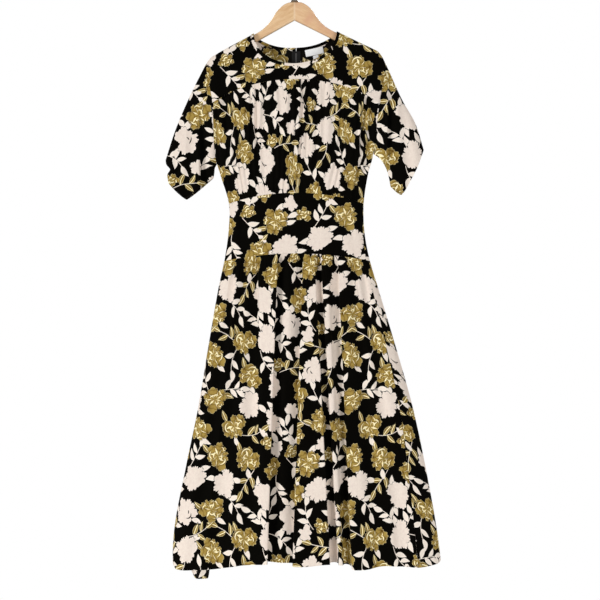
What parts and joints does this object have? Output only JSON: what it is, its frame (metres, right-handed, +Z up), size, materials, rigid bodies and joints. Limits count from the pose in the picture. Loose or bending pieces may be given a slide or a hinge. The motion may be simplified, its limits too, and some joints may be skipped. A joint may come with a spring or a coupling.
{
  "type": "maxi dress on a hanger",
  "caption": "Flat-hung maxi dress with elbow-length sleeves, arched yoke, midriff band and gathered flared skirt in a floral print, on a wooden hanger.",
  "frame": {"origin": "inside top of the hanger's hook, where it rests on a rail", "axes": "+Z up, front of the dress facing -Y, +X to the right of a viewer who looks at the front"},
  "size_m": [0.6869, 0.1346, 1.511],
  "materials": {
    "printed_cloth": "black woven cloth with cream and mustard flowers",
    "wood": "lacquered pale wood",
    "hook_metal": "bright plated",
    "zip_tape": "black woven tape",
    "zip_metal": "black enamelled",
    "label": "pale woven tape"
  },
  "bodies": {
    "dress": {"front_yoke": "printed_cloth", "front_bodice": "printed_cloth", "back_bodice_left": "printed_cloth", "back_bodice_right": "printed_cloth", "front_midriff": "printed_cloth", "back_midriff_left": "printed_cloth", "back_midriff_right": "printed_cloth", "front_skirt": "printed_cloth", "back_skirt_left": "printed_cloth", "back_skirt_right": "printed_cloth", "sleeve_left": "printed_cloth", "sleeve_right": "printed_cloth", "neck_binding": "printed_cloth", "hanger_arm_left": "wood", "hanger_arm_right": "wood", "hanger_hook": "hook_metal", "hanger_collar": "hook_metal", "zip_tape": "zip_tape", "zip_teeth": "zip_tape", "zip_slider": "zip_metal", "neck_label": "label", "size_tab": "label"},
    "pull": {"zip_pull": "zip_metal"}
  },
  "joints": [
    {"name": "pull_swing", "type": "hinge", "parent": "dress", "child": "pull", "pos_m": [0.004, 0.02391, -0.187], "axis": [1, 0, 0], "range_deg": [0, 150]}
  ]
}
